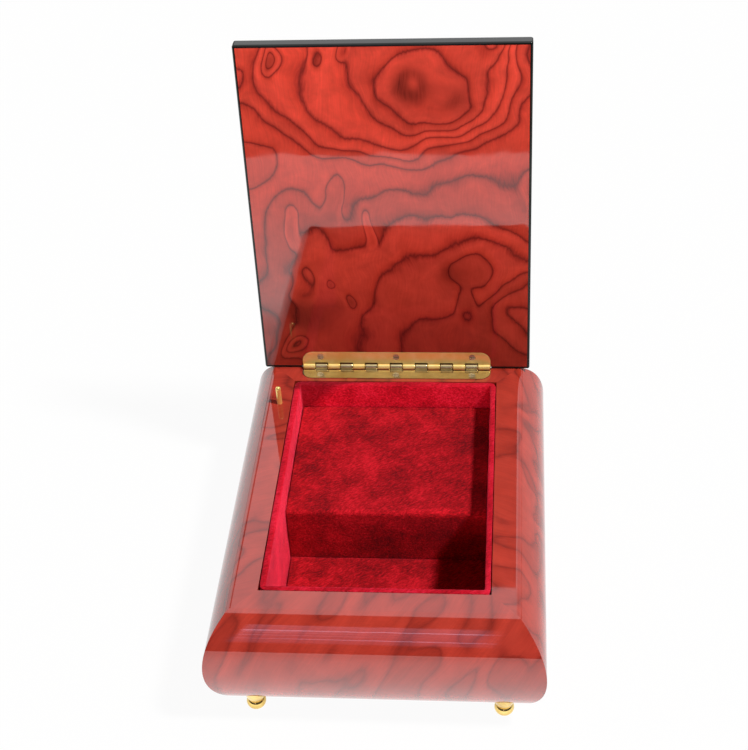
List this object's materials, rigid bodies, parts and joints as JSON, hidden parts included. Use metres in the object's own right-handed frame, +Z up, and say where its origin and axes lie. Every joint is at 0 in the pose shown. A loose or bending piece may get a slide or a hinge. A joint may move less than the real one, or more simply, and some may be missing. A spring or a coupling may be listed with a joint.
{
  "type": "musical jewelry box",
  "caption": "Bulging veneered jewelry box on small brass feet, with a hinged lid, velvet lining and a key-wound comb and cylinder movement that a pin stops when the lid closes.",
  "frame": {"origin": "on the floor under the middle of the part's bounding box with the lid open, level with the soles of the feet", "axes": "+X to the right across the width of the box, +Y from the front to the hinge at the back, +Z up"},
  "size_m": [0.1412, 0.1852, 0.2274],
  "materials": {
    "burl_veneer": "red-stained burl veneer under high-gloss clear lacquer",
    "black_lacquer": "gloss black lacquer on board",
    "bottom_board": "satin dark stain",
    "velvet": "crimson velvet over card",
    "polished_brass": "polished",
    "movement_brass": "brushed",
    "movement_casting": "gilt zinc casting",
    "movement_steel": "ground steel",
    "fan_plastic": "moulded"
  },
  "bodies": {
    "base": {"front_panel": "burl_veneer", "back_panel": "burl_veneer", "left_panel": "burl_veneer", "right_panel": "burl_veneer", "bottom_panel": "bottom_board", "liner_front": "velvet", "liner_back": "velvet", "liner_left": "velvet", "liner_right": "velvet", "deck": "velvet", "riser": "velvet", "well_floor": "velvet", "foot_front_left": "polished_brass", "foot_front_right": "polished_brass", "foot_rear_left": "polished_brass", "foot_rear_right": "polished_brass", "hinge_rim_leaf": "polished_brass", "hinge_rim_screws": "polished_brass", "hinge_pin": "polished_brass", "governor_bracket": "movement_brass", "barrel_bridge": "movement_brass", "click": "movement_brass", "movement_bedplate": "movement_casting", "bottom_screws": "movement_steel", "movement_screws": "movement_steel", "bridge_screws": "movement_steel", "comb_screws": "movement_steel", "bracket_screws": "movement_steel", "click_screw": "movement_steel", "lever_screw": "movement_steel", "return_spring": "movement_steel", "comb": "movement_steel"},
    "lid": {"lid_core": "black_lacquer", "lid_inner_veneer": "burl_veneer", "lid_outer_veneer": "burl_veneer", "hinge_lid_leaf": "polished_brass", "hinge_lid_screws": "polished_brass"},
    "stop_pin": {"stop_pin": "polished_brass"},
    "stop_lever": {"stop_lever": "movement_brass"},
    "winding_key": {"winding_arbor": "movement_steel", "winding_key": "polished_brass", "ratchet_wheel": "movement_steel"},
    "spring_barrel": {"spring_barrel": "movement_brass", "mainspring": "movement_steel"},
    "cylinder": {"cylinder_drum": "movement_brass", "cylinder_pins": "movement_steel", "cylinder_arbor": "movement_steel", "cylinder_pinion": "movement_brass", "cylinder_wheel": "movement_brass"},
    "governor_wheel": {"governor_arbor": "movement_steel", "governor_wheel": "movement_brass"},
    "fan": {"fan_worm": "movement_steel", "fan_blades": "fan_plastic"}
  },
  "joints": [
    {"name": "lid_hinge", "type": "hinge", "parent": "base", "child": "lid", "pos_m": [0, 0.07529, 0.0629], "axis": [-1, 0, 0], "range_deg": [-94, 0]},
    {"name": "stop_pin_slide", "type": "slide", "parent": "base", "child": "stop_pin", "axis": [0, 0, 1], "range_m": [-0.0092, 0]},
    {"name": "stop_lever_tilt", "type": "hinge", "parent": "base", "child": "stop_lever", "pos_m": [-0.04, 0.04869, 0.0357], "axis": [0, 1, 0], "range_deg": [-40.47, 0], "deforming": ["return_spring"]},
    {"name": "winding_key_turn", "type": "hinge", "parent": "base", "child": "winding_key", "pos_m": [0.02, 0.02806, 0.02], "axis": [0, 0, 1], "continuous": true},
    {"name": "fan_spin", "type": "hinge", "parent": "base", "child": "fan", "pos_m": [-0.02625, 0.04309, 0.03092], "axis": [0, 0, 1], "continuous": true},
    {"name": "governor_spin", "type": "hinge", "parent": "base", "child": "governor_wheel", "pos_m": [-0.02695, 0.03709, 0.03092], "axis": [1, 0, 0], "continuous": true},
    {"name": "cylinder_spin", "type": "hinge", "parent": "base", "child": "cylinder", "pos_m": [0.0095, 0.02806, 0.0342], "axis": [1, 0, 0], "continuous": true},
    {"name": "barrel_spin", "type": "hinge", "parent": "base", "child": "spring_barrel", "pos_m": [0.02, 0.02806, 0.02], "axis": [0, 0, 1], "continuous": true}
  ],
  "couplings": [
    {"joint": "stop_pin_slide", "follows": "lid_hinge", "m_per_rad": 0.005607},
    {"joint": "stop_lever_tilt", "follows": "lid_hinge", "ratio": 0.4305},
    {"joint": "cylinder_spin", "follows": "barrel_spin", "ratio": -3},
    {"joint": "governor_spin", "follows": "barrel_spin", "ratio": 15},
    {"joint": "fan_spin", "follows": "barrel_spin", "ratio": -360}
  ]
}
